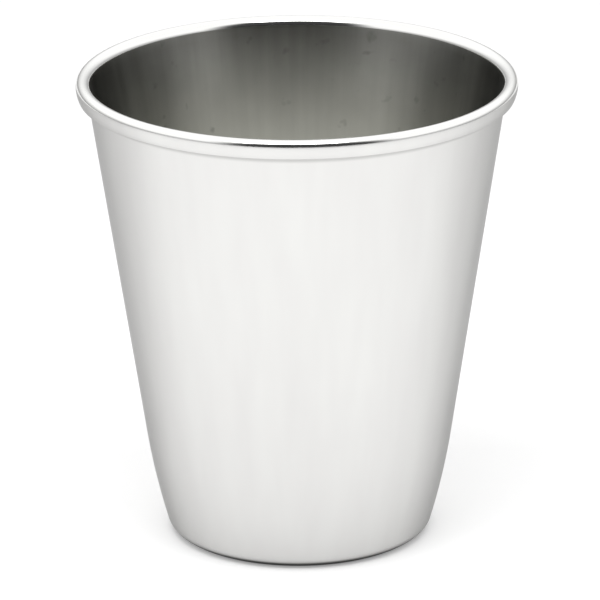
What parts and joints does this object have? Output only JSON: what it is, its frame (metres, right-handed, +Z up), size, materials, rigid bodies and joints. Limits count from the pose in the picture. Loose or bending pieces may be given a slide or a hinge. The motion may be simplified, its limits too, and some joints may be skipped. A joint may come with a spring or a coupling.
{
  "type": "drinking tumbler",
  "caption": "Tapered stainless steel drinking tumbler with a rolled lip and a foot that turns in to a small base corner: an inner cup hangs by its lip in an outer shell, with air between the walls.",
  "frame": {"origin": "centre of the base, in the plane that the tumbler stands on", "axes": "+Z up along the tumbler's axis, towards the lip; the tumbler is round, so X and Y have no marks of their own"},
  "size_m": [0.074, 0.074, 0.0798],
  "materials": {
    "satin_steel": "satin",
    "polished_steel": "polished lip, satin inside"
  },
  "bodies": {
    "root": {"outer_shell": "satin_steel", "inner_cup": "polished_steel"}
  },
  "joints": []
}
